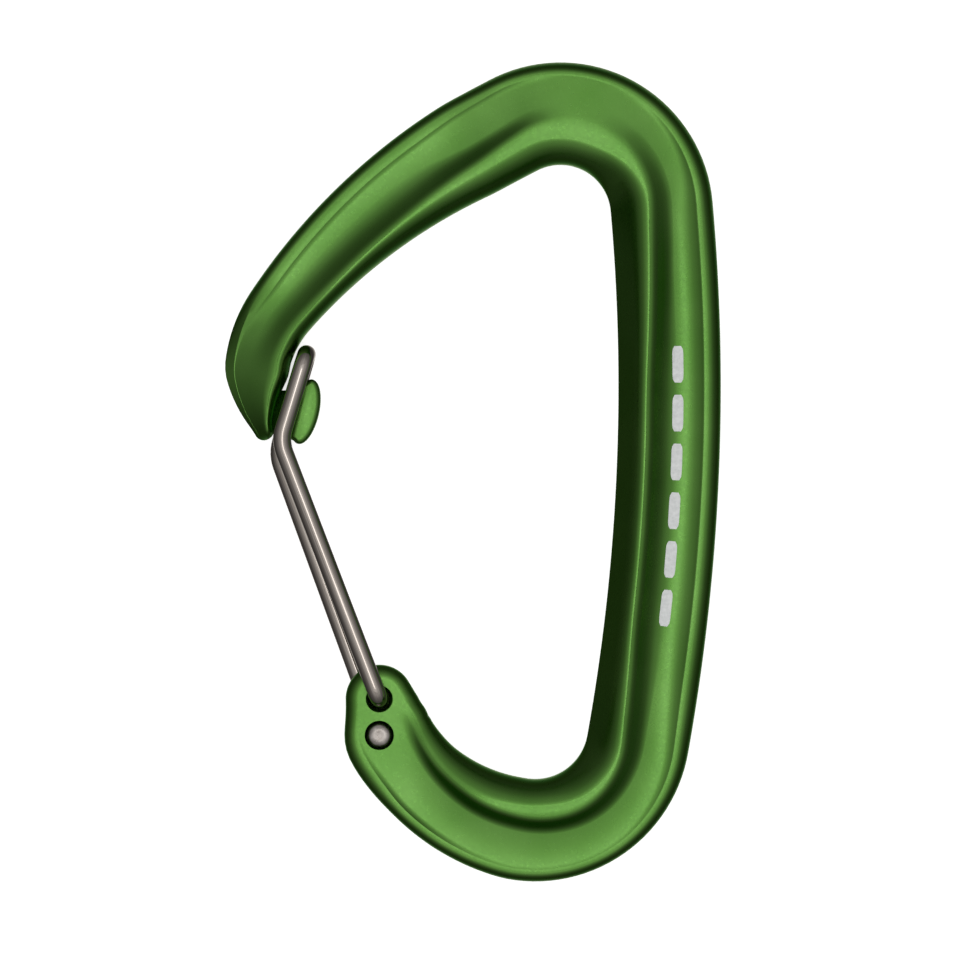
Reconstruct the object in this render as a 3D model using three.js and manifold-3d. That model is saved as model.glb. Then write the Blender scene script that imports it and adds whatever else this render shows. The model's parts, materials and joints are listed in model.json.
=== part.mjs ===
// A wire-gate carabiner: a forged aluminium body and a sprung gate bent from one steel wire.
//
// Units are millimetres. The carabiner lies flat: X runs across it, Y along it from the sling end
// to the rope end, and Z through its thickness. The origin is the middle of the footprint, on the
// plane that the underside of the inner rail rests on.
//
// The body is a bar that follows a centreline of tangent arcs, from the ear that holds the gate,
// round the sling end, up the spine, round the rope end and down the arm to the nose. Across the bar
// there is a round inner rail, a steep wall, a recessed floor, a slope and an outer rim. The gate is
// one wire whose two legs pass either side of the nose. Opening it twists the wire, so the gate is
// two nodes that meet in the middle of the cross part: the leg on the front and the leg on the back.

import * as THREE from 'three';
import { mergeVertices } from 'three/addons/utils/BufferGeometryUtils.js';
import Module from 'manifold-3d';

const wasm = await Module();
wasm.setup();

// ---- Body: centreline, from the ear to the nose -------------------------------------------------
const EAR_HEADING = -87;      // degrees, the way the bar leaves the ear
const EAR_RADIUS = 12;
const EAR_TURN = 33.2;
const HEEL_RADIUS = 22.9;
const HEEL_TURN = 40.9;       // degrees
const SLING_END_RADIUS = 12.3;
const SLING_END_TURN = 92.7;
const SPINE_LENGTH = 63.9;
const SPINE_TURN = 15.3;
const ROPE_END_RADIUS = 12;
const ROPE_END_TURN = 112.4;
const SHOULDER_LENGTH = 6;
const SHOULDER_TURN = 1;
const ARM_LENGTH = 29.3;
const ARM_TURN = 24;
const NOSE_RADIUS = 15;
const NOSE_TURN = 58.3;

// ---- Body: plan widths --------------------------------------------------------------------------
const EAR_WIDTH = 8;
const EAR_FLARE_LENGTH = 4;   // over which the ear widens to the heel
const HEEL_WIDTH = 10.7;
const BAR_WIDTH = 12.1;
const ARM_END_WIDTH = 8.3;
const NOSE_WIDTH = 7.5;
const TIP_WIDTH = 2;
const EAR_TANGENT = 28;       // degrees: where the ear's round end runs out into the heel
const HEEL_FLARE = 1.17;      // the most that the inner half is widened beside the ear
const NECK_FLARE = 1.3;       // and beside the nose head

// ---- Body: heights above the middle plane -------------------------------------------------------
const RAIL_HEIGHT = 5;
const RIM_HEIGHT = 3.1;
const SADDLE_RIM_HEIGHT = 4.7;
const SPINE_FLOOR_DROP = 0.6; // rim down to floor
const HEEL_FLOOR_DROP = 0.3;
const ARM_FLOOR_DROP = 0.12;
const SLING_FLOOR_DROP = 0.05;
const EAR_HEIGHT = 2.4;
const TIP_HEIGHT = 3;
const EDGE_FLAT = 1.2;        // flat left on the inner and the outer edge, top to bottom

// ---- Body: distances across the bar -------------------------------------------------------------
const EAR_RAIL = 2;           // inner edge to the top of the wall
const HEEL_RAIL = 4.45;
const SLING_RAIL = 5.1;
const SPINE_RAIL = 3.75;
const ROPE_RAIL = 5.6;
const SHOULDER_RAIL = 5.05;
const ARM_RAIL = 2.7;
const NECK_RAIL = 2;
const TIP_RAIL = 0.6;
const THIN_CREST = 0.6;       // flat top of the rail
const BROAD_CREST = 1.65;
const SADDLE_CREST = 2.4;
const EAR_WALL = 0.7;         // run of the wall
const TIGHT_WALL = 1.05;
const WIDE_WALL = 1.8;
const TIGHT_FOOT = 0.6;       // from the wall's foot out to where the floor is flat
const WIDE_FOOT = 1.6;
const SPINE_SLOPE = 1;        // run of the slope from the floor to the rim
const OTHER_SLOPE = 0.35;
const THIN_RIM = 0.45;        // flat top of the rim
const ARM_RIM = 0.95;
const NOSE_RIM = 0.05;
const SLING_ROUND = 1;        // run of the rounded outer edge
const SPINE_ROUND = 1.55;
const ROPE_ROUND = 1.3;
const ARM_ROUND = 1.1;
const CREST_EASE = 0.5;       // rail top that is rounded down to the wall
const FLANK_STRAIGHT = 0.6;   // the share of the spine's inner flank that runs straight
const RAIL_SHARE = 0.45;      // the most of the width that the rail takes

// ---- Body: where the recess starts and stops, along the centreline ------------------------------
const EAR_FLAT_LENGTH = 4;
const EAR_RISE_LENGTH = 14;
const SADDLE_PAST_MIDDLE = 3.9;
const SADDLE_LENGTH = 6.4;    // full-height bridge across the rope end
const SADDLE_RAMP_IN = 6.5;
const SADDLE_RAMP_OUT = 3.6;
const NOSE_FADE_LENGTH = 7;

// ---- Nose head ----------------------------------------------------------------------------------
const HEAD_LENGTH = 7.8;
const HEAD_WIDTH = 3.2;
const HEAD_TILT = 13;         // degrees, leaning towards the spine
const HEAD_ACROSS = 4.93;     // nose tip to head centre, along X
const HEAD_UP = 2.29;         // nose tip to head centre, along Y
const HEAD_ROUND = 0.5;
const NOTCH_DEPTH = 1;
const NOTCH_WIDTH = 2.4;
const NECK_BACK = 0.4;        // how far the neck runs back into the nose
const NECK_UP = 0.9;

// ---- Gate wire ----------------------------------------------------------------------------------
const WIRE_DIAMETER = 2.15;
const WIRE_SIDES = 12;
const HEAD_CLEARANCE = 0.35;  // nose head to each leg
const EAR_CLEARANCE = 0.25;   // ear face to each leg
const LOOP_RADIUS = 1.9;      // bends between the legs and the cross part
const PIVOT_BEND_RADIUS = 1.35;
const KNEE_RADIUS = 4.5;
const LOOP_ABOVE_HEAD = 6.8;  // head centre to cross part, along Y
const LOOP_ACROSS = 0.15;     // and along X, towards the spine
const FRONT_KNEE = { beside: 2.95, below: 3.4 };  // from the head centre
const BACK_KNEE = { beside: 3.4, below: 5 };
const HALF_GAP = 0.3;         // between the two halves, in the middle of the cross part
const WIRE_STEP = 0.9;

// ---- Pivots -------------------------------------------------------------------------------------
const PIVOT_SPACING = 4.3;
const BORE_CLEARANCE = 0.3;   // wire to bore, all round
const ENTRY_DIAMETER = 3.2;
const ENTRY_DEPTH = 1.1;
const PEEN_DIAMETER = 2.85;
const PEEN_HEIGHT = 0.9;
const PEEN_CLEARANCE = 0.3;   // peened head to the recess round it
const PEEN_SEAT_GAP = 0.2;
const PEEN_BELOW_FACE = 0.05;
// the peened head's outline, as shares of its radius and height
const PEEN_PROFILE = [[0, 0], [0.8, 0], [1, 0.3], [0.92, 0.7], [0.6, 0.95], [0, 1]];

// ---- Mesh fineness ------------------------------------------------------------------------------
const ARC_STEP = 5;           // degrees of turn per station on the tight bends
const LONG_STEP = 3.2;        // millimetres per station elsewhere
const ROUND_SIDES = 28;
const INNER_ANGLES = [25, 50, 72];
const OUTER_ANGLES = [0, 35, 65];
const TIP_ANGLES = [40, 70];
const WALL_CREST_SHARE = 0.3; // of the wall, rounded into the rail's top
const WALL_FOOT_SHARE = 0.7;  // and into the floor

const rad = THREE.MathUtils.degToRad;

// A line that turns steadily: a stretch of the centreline with its own length and turn.
const bend = (radius, turn) => ({ length: radius * rad(turn), turn: rad(turn), tight: true });
const sweep = (length, turn) => ({ length, turn: rad(turn), tight: false });
const STRETCHES = {
  ear: bend(EAR_RADIUS, EAR_TURN),
  heel: bend(HEEL_RADIUS, HEEL_TURN),
  slingEnd: bend(SLING_END_RADIUS, SLING_END_TURN),
  spine: sweep(SPINE_LENGTH, SPINE_TURN),
  ropeEnd: bend(ROPE_END_RADIUS, ROPE_END_TURN),
  shoulder: sweep(SHOULDER_LENGTH, SHOULDER_TURN),
  arm: sweep(ARM_LENGTH, ARM_TURN),
  nose: bend(NOSE_RADIUS, NOSE_TURN),
};

// Lays the stretches end to end. Each gets its start: distance, point and heading.
function layCentreline() {
  let distance = 0;
  let heading = rad(EAR_HEADING);
  const point = new THREE.Vector2(0, 0);
  for (const stretch of Object.values(STRETCHES)) {
    Object.assign(stretch, { start: distance, heading, from: point.clone() });
    const radius = stretch.length / stretch.turn;
    point.x += radius * (Math.sin(heading + stretch.turn) - Math.sin(heading));
    point.y -= radius * (Math.cos(heading + stretch.turn) - Math.cos(heading));
    heading += stretch.turn;
    distance += stretch.length;
    stretch.end = distance;
  }
  return distance;
}
const CENTRELINE_LENGTH = layCentreline();

// Point and heading at a distance along the centreline, before the body is centred.
function centreAt(distance) {
  const all = Object.values(STRETCHES);
  const stretch = all.find((one) => distance <= one.end) ?? all[all.length - 1];
  const turned = stretch.turn * (distance - stretch.start) / stretch.length;
  const radius = stretch.length / stretch.turn;
  const heading = stretch.heading + turned;
  const x = stretch.from.x + radius * (Math.sin(heading) - Math.sin(stretch.heading));
  const y = stretch.from.y - radius * (Math.cos(heading) - Math.cos(stretch.heading));
  return { x, y, heading };
}

// A value that runs straight from stop to stop, with its corners eased over a few millimetres.
function along(stops, ease = 2) {
  const straight = (distance) => {
    if (distance <= stops[0][0]) return stops[0][1];
    for (let i = 1; i < stops.length; i += 1) {
      const [a, from] = stops[i - 1];
      const [b, to] = stops[i];
      if (distance <= b) return from + (to - from) * (distance - a) / (b - a);
    }
    return stops[stops.length - 1][1];
  };
  const offsets = [-1, -0.5, 0, 0.5, 1].map((share) => share * ease);
  return (distance) => offsets.reduce((sum, by) => sum + straight(distance + by), 0) / offsets.length;
}

const { ear, heel, slingEnd, spine, ropeEnd, shoulder, arm, nose } = STRETCHES;
const SLING_END_MIDDLE = (slingEnd.start + slingEnd.end) / 2;
const ROPE_END_MIDDLE = (ropeEnd.start + ropeEnd.end) / 2;
const SPINE_MIDDLE = (spine.start + spine.end) / 2;
const SADDLE_START = ROPE_END_MIDDLE + SADDLE_PAST_MIDDLE - SADDLE_LENGTH / 2;
const SADDLE_END = SADDLE_START + SADDLE_LENGTH;

// Each of these holds how one size of the bar changes along its length. The stops sit a few
// millimetres in from the ends of the stretches, where that size has settled.
const widthAt = along([
  [1, EAR_WIDTH],
  [EAR_FLARE_LENGTH, HEEL_WIDTH],
  [ear.end + 4, HEEL_WIDTH],
  [slingEnd.start, BAR_WIDTH],
  [arm.start, BAR_WIDTH],
  [arm.end, ARM_END_WIDTH],
  [nose.start + nose.length * 0.55, NOSE_WIDTH],
  [nose.end, TIP_WIDTH],
], 1);

// How much the inner half is widened: beside the ear, and beside the nose head.
const flareAt = along([
  [0, 1 / Math.cos(rad(EAR_TANGENT))],
  [1, HEEL_FLARE],
  [2, 1.14],
  [3, 1.07],
  [4, 1],
  [nose.end - 9, 1],
  [nose.end - 4, NECK_FLARE],
], 0.2);

const railAt = along([
  [EAR_FLAT_LENGTH, EAR_RAIL],
  [heel.end - 3, HEEL_RAIL],
  [SLING_END_MIDDLE, SLING_RAIL],
  [spine.start + 14, SPINE_RAIL],
  [SPINE_MIDDLE + 11, SPINE_RAIL],
  [ROPE_END_MIDDLE, ROPE_RAIL],
  [ropeEnd.end - 1, SHOULDER_RAIL],
  [arm.start + 12, ARM_RAIL],
  [arm.end - 6, NECK_RAIL],
  [nose.start + 9, NECK_RAIL],
  [nose.end, TIP_RAIL],
], 3);

const crestBandAt = along([
  [heel.end - 6, THIN_CREST],
  [slingEnd.start + 4, BROAD_CREST],
  [slingEnd.end - 3, THIN_CREST],
  [spine.end + 3, THIN_CREST],
  [ROPE_END_MIDDLE, SADDLE_CREST],
  [ropeEnd.end, BROAD_CREST],
  [arm.start + 12, THIN_CREST],
], 3);

// How straight the inner flank is: round at both ends, straight on the spine.
const flankAt = along([
  [slingEnd.start + 7, 0],
  [slingEnd.end, 1],
  [spine.end + 3, 1],
  [ROPE_END_MIDDLE, 0],
], 3);

const wallRunAt = along([
  [ear.end + 1, EAR_WALL],
  [heel.start + 8, TIGHT_WALL],
  [SLING_END_MIDDLE - 5, TIGHT_WALL],
  [spine.start + 2, WIDE_WALL],
  [spine.end, WIDE_WALL],
  [ropeEnd.end - 2, TIGHT_WALL],
  [arm.start + 8, WIDE_WALL],
], 3);

const footAt = along([
  [spine.start + 2, TIGHT_FOOT],
  [spine.start + 14, WIDE_FOOT],
  [SPINE_MIDDLE + 9, WIDE_FOOT],
  [spine.end - 9, TIGHT_FOOT],
  [arm.start, TIGHT_FOOT],
  [arm.start + 8, WIDE_FOOT],
], 3);

const slopeRunAt = along([
  [slingEnd.end - 8, OTHER_SLOPE],
  [spine.start + 12, SPINE_SLOPE],
  [spine.end, SPINE_SLOPE],
  [ropeEnd.start + 6, OTHER_SLOPE],
], 3);

const floorDropAt = along([
  [EAR_FLAT_LENGTH, 0],
  [heel.start + 5, HEEL_FLOOR_DROP],
  [heel.end - 3, SLING_FLOOR_DROP],
  [slingEnd.end - 8, SLING_FLOOR_DROP],
  [spine.start + 12, SPINE_FLOOR_DROP],
  [spine.end, SPINE_FLOOR_DROP],
  [ropeEnd.start + 6, ARM_FLOOR_DROP],
], 3);

const rimBandAt = along([
  [ropeEnd.end, THIN_RIM],
  [arm.start + 4, ARM_RIM],
  [nose.start, ARM_RIM],
  [nose.start + NOSE_FADE_LENGTH, NOSE_RIM],
]);

const outerRoundAt = along([
  [SLING_END_MIDDLE, SLING_ROUND],
  [spine.start + 6, SPINE_ROUND],
  [spine.end, SPINE_ROUND],
  [ROPE_END_MIDDLE, ROPE_ROUND],
  [arm.start + 10, ARM_ROUND],
]);

const railHeightAt = along([
  [EAR_FLAT_LENGTH, EAR_HEIGHT],
  [EAR_FLAT_LENGTH + EAR_RISE_LENGTH, RAIL_HEIGHT],
  [arm.end - NOSE_FADE_LENGTH, RAIL_HEIGHT],
  [nose.end, TIP_HEIGHT],
], 3);

const rimHeightAt = along([
  [EAR_FLAT_LENGTH, EAR_HEIGHT],
  [slingEnd.start, RIM_HEIGHT],
  [spine.end - 8, RIM_HEIGHT],
  [SADDLE_START, SADDLE_RIM_HEIGHT],
  [SADDLE_END, SADDLE_RIM_HEIGHT],
  [arm.start + 2, RIM_HEIGHT],
  [nose.start, RIM_HEIGHT],
  [nose.start + NOSE_FADE_LENGTH, EDGE_FLAT],
], 3);

// How much of the recess there is: none on the saddle at the rope end and on the nose.
const recessAt = along([
  [SADDLE_START - SADDLE_RAMP_IN, 1],
  [SADDLE_START, 0],
  [SADDLE_END, 0],
  [SADDLE_END + SADDLE_RAMP_OUT, 1],
  [nose.start, 1],
  [nose.start + NOSE_FADE_LENGTH, 0],
]);

const mix = (a, b, share) => a + (b - a) * share;
const between = (a, b, share) => [mix(a[0], b[0], share), mix(a[1], b[1], share)];

// Rise across the inner roll, both as shares: a quarter ellipse, or a flank eased at its top.
function flankHeight(share, straightness) {
  const steepness = 2 / (1 + FLANK_STRAIGHT);
  const bent = Math.max(0, share - FLANK_STRAIGHT);
  const flank = steepness * (share - bent ** 2 / (2 * (1 - FLANK_STRAIGHT)));
  return mix(Math.sqrt(1 - (1 - share) ** 2), flank, straightness);
}

// A corner cut back by these shares of its two sides and bent along a parabola.
function eased(before, corner, after, back, ahead, steps) {
  const from = between(corner, before, back);
  const to = between(corner, after, ahead);
  const shares = Array.from({ length: steps + 1 }, (_, k) => k / steps);
  return shares.map((t) => between(between(from, corner, t), between(corner, to, t), t));
}

// Upper half of the cross-section, as [distance from the inner edge, height] pairs.
function sectionAt(distance) {
  const width = widthAt(distance);
  const scale = Math.min(1, width / NOSE_WIDTH);
  const rail = Math.min(railAt(distance), width * RAIL_SHARE);
  const roll = rail - crestBandAt(distance) * scale;
  const railHeight = railHeightAt(distance);
  const rimHeight = rimHeightAt(distance);
  const edge = EDGE_FLAT / 2;
  const rimEnd = width - outerRoundAt(distance) * scale;
  const rimStart = rimEnd - rimBandAt(distance) * scale;
  const floorEnd = rimStart - slopeRunAt(distance) * scale;
  const floorStart = Math.min(rail + wallRunAt(distance) * scale, mix(rail, floorEnd, 0.8));
  const floorLevel = rimHeight - floorDropAt(distance);
  const floorHeight = (across) => {
    const bridge = mix(railHeight, rimHeight, (across - rail) / (rimStart - rail));
    return mix(bridge, Math.min(floorLevel, bridge), recessAt(distance));
  };
  const half = [[0, edge]];
  for (const angle of INNER_ANGLES.map(rad)) {
    const share = 1 - Math.cos(angle);
    half.push([roll * share, mix(edge, railHeight, flankHeight(share, flankAt(distance)))]);
  }
  const crest = [rail, railHeight];
  const foot = [floorStart, floorHeight(floorStart)];
  const turn = [floorEnd, floorHeight(floorEnd)];
  const rim = [rimStart, rimHeight];
  const crestBack = Math.min(0.9, CREST_EASE / (rail - roll));
  const footAhead = Math.min(0.45, footAt(distance) / (floorEnd - floorStart));
  half.push([roll, railHeight]);
  half.push(...eased([roll, railHeight], crest, foot, crestBack, WALL_CREST_SHARE, 1));
  half.push(...eased(crest, foot, turn, WALL_FOOT_SHARE, footAhead, 2));
  half.push(...eased(foot, turn, rim, 0.2, 0.85, 1));
  half.push(rim);
  for (const angle of OUTER_ANGLES.map(rad)) {
    const across = mix(rimEnd, width, Math.sin(angle));
    half.push([across, mix(edge, rimHeight, Math.cos(angle))]);
  }
  half.push([width, edge]);
  return half;
}

// The closed ring of points round the bar at a distance along the centreline. Past the nose tip the
// ring turns over and shrinks, which rounds the tip off.
function ringAt(distance, tipTurn = 0) {
  const { x, y, heading } = centreAt(distance);
  const inward = new THREE.Vector2(-Math.sin(heading), Math.cos(heading));
  const onward = new THREE.Vector2(Math.cos(heading), Math.sin(heading));
  const halfWidth = widthAt(distance) / 2;
  const flare = flareAt(distance);
  const shrink = Math.cos(tipTurn);
  const ahead = halfWidth * Math.sin(tipTurn);
  const place = ([across, height]) => {
    const off = (halfWidth - across) * shrink * (across < halfWidth ? flare : 1);
    return new THREE.Vector3(
      x + inward.x * off + onward.x * ahead, y + inward.y * off + onward.y * ahead, height * shrink);
  };
  const upper = sectionAt(distance);
  const lower = upper.map(([across, height]) => [across, -height]).reverse();
  return [...upper, ...lower].map(place);
}

// Distances at which the bar gets a ring. Each tight bend has one either side of the point where it
// runs straight across, so a facet there faces along Y.
function ringDistances() {
  const distances = [0];
  for (const stretch of Object.values(STRETCHES)) {
    if (!stretch.tight) {
      const count = Math.max(2, Math.round(stretch.length / LONG_STEP));
      for (let i = 1; i <= count; i += 1) distances.push(stretch.start + stretch.length * i / count);
      continue;
    }
    const step = rad(ARC_STEP);
    const radius = stretch.length / stretch.turn;
    let heading = (Math.floor(stretch.heading / step) + 1.5) * step;
    for (; heading < stretch.heading + stretch.turn - step / 2; heading += step) {
      distances.push(stretch.start + radius * (heading - stretch.heading));
    }
    distances.push(stretch.end);
  }
  return distances;
}

// Joins rings of equal size into one closed surface, with a fan over each end.
function loft(rings) {
  const size = rings[0].length;
  const index = [];
  for (let r = 0; r + 1 < rings.length; r += 1) {
    for (let i = 0; i < size; i += 1) {
      const a = r * size + i;
      const b = r * size + (i + 1) % size;
      index.push(a, b, b + size, a, b + size, a + size);
    }
  }
  const first = (rings.length) * size;
  const points = rings.flat();
  const middle = (ring) => ring.reduce((sum, p) => sum.add(p), new THREE.Vector3()).divideScalar(size);
  points.push(middle(rings[0]), middle(rings[rings.length - 1]));
  for (let i = 0; i < size; i += 1) {
    const next = (i + 1) % size;
    index.push(first, next, i);
    index.push(first + 1, (rings.length - 1) * size + i, (rings.length - 1) * size + next);
  }
  const geometry = new THREE.BufferGeometry().setFromPoints(points);
  geometry.setIndex(index);
  return geometry;
}

// ---- Solids -------------------------------------------------------------------------------------
function toSolid(geometry) {
  geometry.deleteAttribute('normal');
  geometry.deleteAttribute('uv');
  const merged = mergeVertices(geometry, 1e-4);
  const vertProperties = new Float32Array(merged.attributes.position.array);
  const triVerts = new Uint32Array(merged.index.array);
  return new wasm.Manifold(new wasm.Mesh({ numProp: 3, vertProperties, triVerts }));
}

function toGeometry(solid) {
  const mesh = solid.getMesh();
  const geometry = new THREE.BufferGeometry();
  geometry.setAttribute('position', new THREE.BufferAttribute(new Float32Array(mesh.vertProperties), 3));
  geometry.setIndex(new THREE.BufferAttribute(new Uint32Array(mesh.triVerts), 1));
  return geometry;
}

// A turned shape standing on the Z axis, from a profile of [radius, height] pairs.
function turned(profile, x, y) {
  const geometry = new THREE.LatheGeometry(profile.map(([r, z]) => new THREE.Vector2(r, z)), ROUND_SIDES);
  return toSolid(geometry.rotateX(Math.PI / 2).translate(x, y, 0));
}

const drum = (diameter, from, to, x, y) => turned(
  [[0, from], [diameter / 2, from], [diameter / 2, to], [0, to]], x, y);

// ---- Places that the body and the gate share ----------------------------------------------------
const FRONT_PIVOT = new THREE.Vector2(0, 0);
const BACK_PIVOT = new THREE.Vector2(0, -PIVOT_SPACING);
const TIP = centreAt(CENTRELINE_LENGTH);
const HEAD = new THREE.Vector2(TIP.x + HEAD_ACROSS, TIP.y + HEAD_UP);
const LEG_HEIGHT = EAR_HEIGHT + EAR_CLEARANCE + WIRE_DIAMETER / 2;
const HEAD_THICKNESS = 2 * (LEG_HEIGHT - WIRE_DIAMETER / 2 - HEAD_CLEARANCE);
const BORE_DIAMETER = WIRE_DIAMETER + 2 * BORE_CLEARANCE;
const RECESS_DIAMETER = PEEN_DIAMETER + 2 * PEEN_CLEARANCE;
const PEEN_TOP = EAR_HEIGHT - PEEN_BELOW_FACE;
const PEEN_SEAT = PEEN_TOP - PEEN_HEIGHT - PEEN_SEAT_GAP;

// ---- Sub-parts ----------------------------------------------------------------------------------
// The ear's round end: a disc about the front pivot with rounded edges like the bar's, and the straight
// edges that run off it to where the bar starts.
function earEnd() {
  const radius = EAR_WIDTH / 2;
  const edge = EDGE_FLAT / 2;
  const run = EAR_RAIL - THIN_CREST;
  const corner = [0, ...INNER_ANGLES, 90].map(rad).map((angle) => [
    radius - run * (1 - Math.sin(angle)), mix(edge, EAR_HEIGHT, Math.cos(angle))]);
  const profile = [[0, -EAR_HEIGHT], ...corner.map(([r, z]) => [r, -z])];
  profile.push(...corner.reverse(), [0, EAR_HEIGHT]);
  const disc = turned(profile, FRONT_PIVOT.x, FRONT_PIVOT.y);
  return wasm.Manifold.hull([disc, toSolid(loft([ringAt(0), ringAt(1)]))]);
}

// The plate that the gate closes round: a neck out of the nose and an oval head with a notch above.
function noseHead() {
  const tilt = rad(-HEAD_TILT);
  const onHead = (angle) => new THREE.Vector2(
    Math.cos(angle) * HEAD_WIDTH / 2,
    Math.sin(angle) * HEAD_LENGTH / 2,
  ).rotateAround(new THREE.Vector2(), tilt);
  const neckTop = new THREE.Vector2(HEAD.x - NOTCH_WIDTH, HEAD.y + HEAD_LENGTH / 2 - NOTCH_DEPTH);
  const shape = new THREE.Shape();
  shape.moveTo(TIP.x - NECK_BACK, TIP.y + NECK_UP);
  const oval = [];
  for (let degrees = -110; degrees <= 120; degrees += 10) oval.push(onHead(rad(degrees)).add(HEAD));
  oval.forEach((p) => shape.lineTo(p.x, p.y));
  shape.quadraticCurveTo(neckTop.x, neckTop.y - NOTCH_DEPTH, neckTop.x - NOTCH_WIDTH * 0.5, neckTop.y);
  shape.lineTo(TIP.x - NECK_BACK, neckTop.y + NECK_BACK);
  const geometry = new THREE.ExtrudeGeometry(shape, {
    depth: HEAD_THICKNESS - 2 * HEAD_ROUND,
    curveSegments: 5,
    bevelThickness: HEAD_ROUND,
    bevelSize: HEAD_ROUND,
    bevelOffset: -HEAD_ROUND,
    bevelSegments: 2,
  });
  return toSolid(geometry.translate(0, 0, -HEAD_THICKNESS / 2 + HEAD_ROUND));
}

// One stepped hole through the ear. side is 1 when the wire goes in at the front and -1 at the back.
function pivotHole(pivot, side) {
  const beyond = EAR_HEIGHT + 1;
  const { x, y } = pivot;
  const span = (diameter, a, b) => drum(diameter, Math.min(a, b), Math.max(a, b), x, y);
  return span(BORE_DIAMETER, -beyond, beyond)
    .add(span(ENTRY_DIAMETER, side * (EAR_HEIGHT - ENTRY_DEPTH), side * beyond))
    .add(span(RECESS_DIAMETER, -side * PEEN_SEAT, -side * beyond));
}

function carabinerBody() {
  const rings = ringDistances().map((distance) => ringAt(distance));
  rings.push(...TIP_ANGLES.map((angle) => ringAt(CENTRELINE_LENGTH, rad(angle))));
  const bar = toSolid(loft(rings));
  return toGeometry(bar
    .add(earEnd())
    .add(noseHead())
    .subtract(pivotHole(FRONT_PIVOT, 1))
    .subtract(pivotHole(BACK_PIVOT, -1)));
}

// An arc in space: a point turned about a centre.
class Arc extends THREE.Curve {
  constructor(centre, from, axis, angle) {
    super();
    Object.assign(this, { centre, from, axis, angle });
  }

  getPoint(t, target = new THREE.Vector3()) {
    return target.copy(this.from).sub(this.centre).applyAxisAngle(this.axis, this.angle * t).add(this.centre);
  }
}

// A path through corner points, each corner rounded by its own radius.
function roundedPath(corners) {
  const path = new THREE.CurvePath();
  let from = corners[0].at;
  for (let i = 1; i + 1 < corners.length; i += 1) {
    const { at, radius } = corners[i];
    const into = at.clone().sub(corners[i - 1].at).normalize();
    const out = corners[i + 1].at.clone().sub(at).normalize();
    const angle = into.angleTo(out);
    const cut = radius * Math.tan(angle / 2);
    const start = at.clone().addScaledVector(into, -cut);
    const axis = into.clone().cross(out).normalize();
    const centre = start.clone().addScaledVector(axis.clone().cross(into), radius);
    path.add(new THREE.LineCurve3(from, start));
    path.add(new Arc(centre, start, axis, angle));
    from = at.clone().addScaledVector(out, cut);
  }
  path.add(new THREE.LineCurve3(from, corners[corners.length - 1].at));
  return path;
}

// One leg of the gate wire, from its peened head in the ear to the middle of the cross part.
function gateHalf(pivot, knee, side) {
  const legZ = side * LEG_HEIGHT;
  const loop = new THREE.Vector2(HEAD.x + LOOP_ACROSS, HEAD.y + LOOP_ABOVE_HEAD);
  const path = roundedPath([
    { at: new THREE.Vector3(pivot.x, pivot.y, -side * (PEEN_TOP - PEEN_HEIGHT / 2)) },
    { at: new THREE.Vector3(pivot.x, pivot.y, legZ), radius: PIVOT_BEND_RADIUS },
    { at: new THREE.Vector3(HEAD.x - knee.beside, HEAD.y - knee.below, legZ), radius: KNEE_RADIUS },
    { at: new THREE.Vector3(loop.x, loop.y, legZ), radius: LOOP_RADIUS },
    { at: new THREE.Vector3(loop.x, loop.y, side * HALF_GAP / 2) },
  ]);
  const ring = Array.from({ length: WIRE_SIDES }, (_, i) => new THREE.Vector2(WIRE_DIAMETER / 2, 0)
    .rotateAround(new THREE.Vector2(), 2 * Math.PI * i / WIRE_SIDES));
  const wire = new THREE.ExtrudeGeometry(new THREE.Shape(ring), {
    extrudePath: path,
    steps: Math.round(path.getLength() / WIRE_STEP),
  });
  return toGeometry(toSolid(wire).add(peenedHead(pivot, side)));
}

// The end of the wire, hammered over into a low dome.
function peenedHead(pivot, side) {
  const radius = PEEN_DIAMETER / 2;
  const base = PEEN_TOP - PEEN_HEIGHT;
  const dome = PEEN_PROFILE.map(([across, up]) => [radius * across, base + PEEN_HEIGHT * up]);
  const profile = side < 0 ? dome : dome.map(([r, z]) => [r, -z]).reverse();
  return turned(profile, pivot.x, pivot.y);
}

// ---- Assembly -----------------------------------------------------------------------------------
const anodised = { color: 0x4f8a2c, roughness: 0.38, metalness: 0.9 };
const steel = { color: 0x8d857b, roughness: 0.25, metalness: 1 };

function piece(name, geometry, finish) {
  const mesh = new THREE.Mesh(geometry, new THREE.MeshStandardMaterial(finish));
  mesh.name = name;
  return mesh;
}

const bodyGeometry = carabinerBody();
bodyGeometry.computeBoundingBox();
const footprint = bodyGeometry.boundingBox.getCenter(new THREE.Vector3());

const carabiner = new THREE.Group();
carabiner.position.set(-footprint.x, -footprint.y, RAIL_HEIGHT);
carabiner.add(
  piece('carabiner_body', bodyGeometry, anodised),
  piece('gate_wire_front_half', gateHalf(FRONT_PIVOT, FRONT_KNEE, 1), steel),
  piece('gate_wire_back_half', gateHalf(BACK_PIVOT, BACK_KNEE, -1), steel),
);

export default carabiner;
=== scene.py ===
# A wire-gate carabiner: a forged, anodised aluminium body and a gate bent from one steel wire.
#
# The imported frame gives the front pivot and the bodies. The body is a bar that follows a line of
# tangent arcs from the ear round to the nose, and the gate is one wire through the ear. Sizes are
# millimetres and angles degrees, as on a drawing, and world() turns a drawing point into metres.

import bisect
import json
import math
import bmesh
import bpy
from mathutils import Matrix, Quaternion, Vector

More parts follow.
